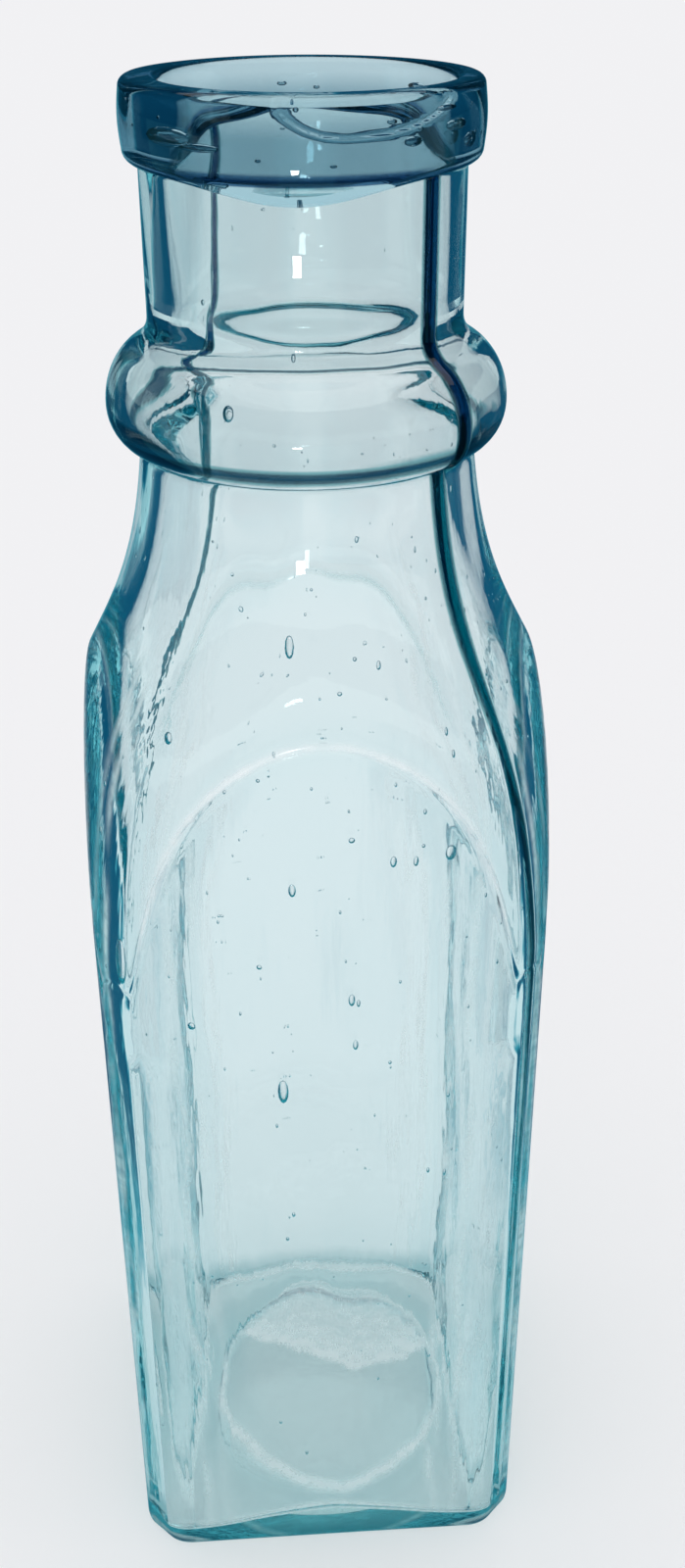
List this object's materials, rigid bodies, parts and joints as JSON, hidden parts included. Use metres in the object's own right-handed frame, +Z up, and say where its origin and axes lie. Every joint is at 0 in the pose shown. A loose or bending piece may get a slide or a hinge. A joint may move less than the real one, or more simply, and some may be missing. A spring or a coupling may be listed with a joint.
{
  "type": "glass pickle bottle",
  "caption": "Tall square glass bottle with arch-topped flat sides, cut corners, a ringed round neck and a wide applied lip, for keeping pickles.",
  "frame": {"origin": "middle of the foot, on the surface that the bottle stands on", "axes": "+Z up along the bottle's axis, the flat sides square to X and Y"},
  "size_m": [0.0804, 0.0804, 0.292],
  "materials": {
    "aqua_glass": "hand-blown, glossy, slightly wavy, with small bubbles"
  },
  "bodies": {
    "root": {"blown_body": "aqua_glass", "applied_lip": "aqua_glass"}
  },
  "joints": []
}
